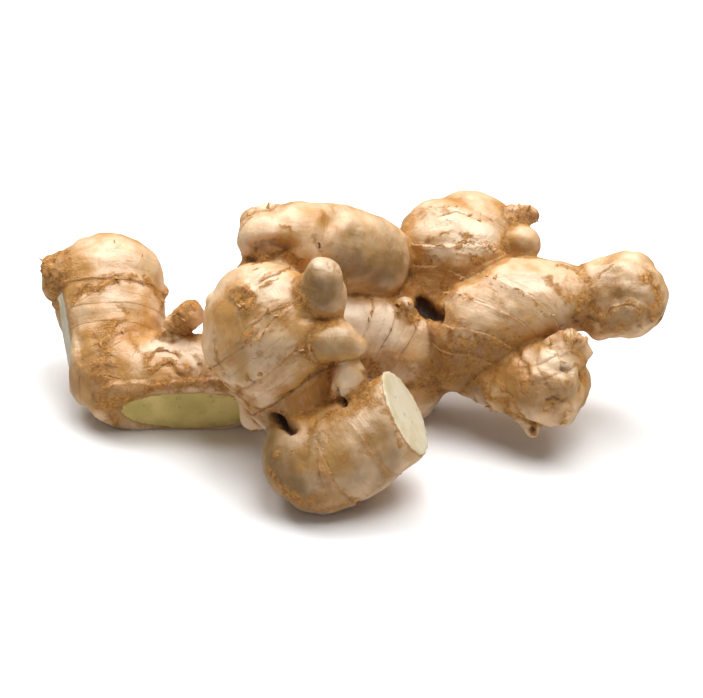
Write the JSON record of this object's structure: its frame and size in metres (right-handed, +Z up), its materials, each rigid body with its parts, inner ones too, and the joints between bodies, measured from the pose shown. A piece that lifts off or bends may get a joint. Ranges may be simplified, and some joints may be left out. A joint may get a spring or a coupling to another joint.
{
  "type": "ginger root",
  "caption": "Fresh ginger root: a branching rhizome of plump ringed fingers and small buds, with sliced faces, lying on its low points",
  "frame": {"origin": "middle of the bounding box in plan, at the level of the table it lies on", "axes": "+X along the root's long way, from the tall bent finger to the round end knob; +Z up; -Y to the side with the big sliced end"},
  "size_m": [0.1828, 0.0994, 0.0695],
  "materials": {
    "skin": "thin tan skin with a soft satin sheen over cream flesh"
  },
  "bodies": {
    "root": {"ginger_root": "skin"}
  },
  "joints": []
}
